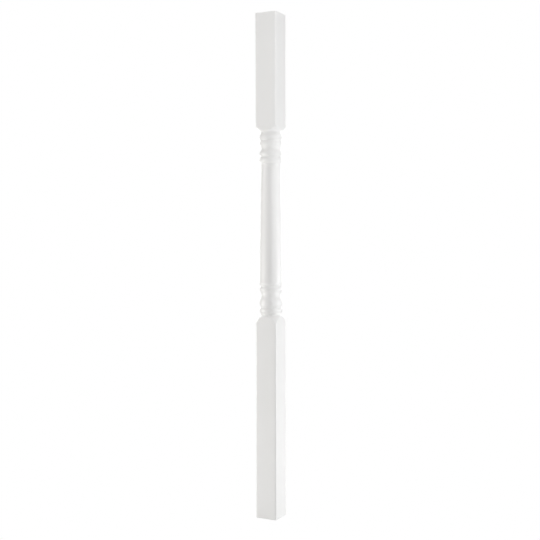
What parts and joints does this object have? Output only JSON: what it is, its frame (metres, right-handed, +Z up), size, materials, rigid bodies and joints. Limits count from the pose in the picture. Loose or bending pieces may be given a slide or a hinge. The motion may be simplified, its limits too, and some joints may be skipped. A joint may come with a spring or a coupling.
{
  "type": "porch post",
  "caption": "Turned porch post that carries a porch roof: square ends, beaded and tapered round shaft between.",
  "frame": {"origin": "middle of the square foot, on the surface that the post stands on", "axes": "+Z up along the post's axis; +X and +Y square to two neighbouring flat sides"},
  "size_m": [0.1112, 0.1112, 2.4384],
  "materials": {
    "satin_white": "smooth satin"
  },
  "bodies": {
    "root": {"turned_post": "satin_white"}
  },
  "joints": []
}
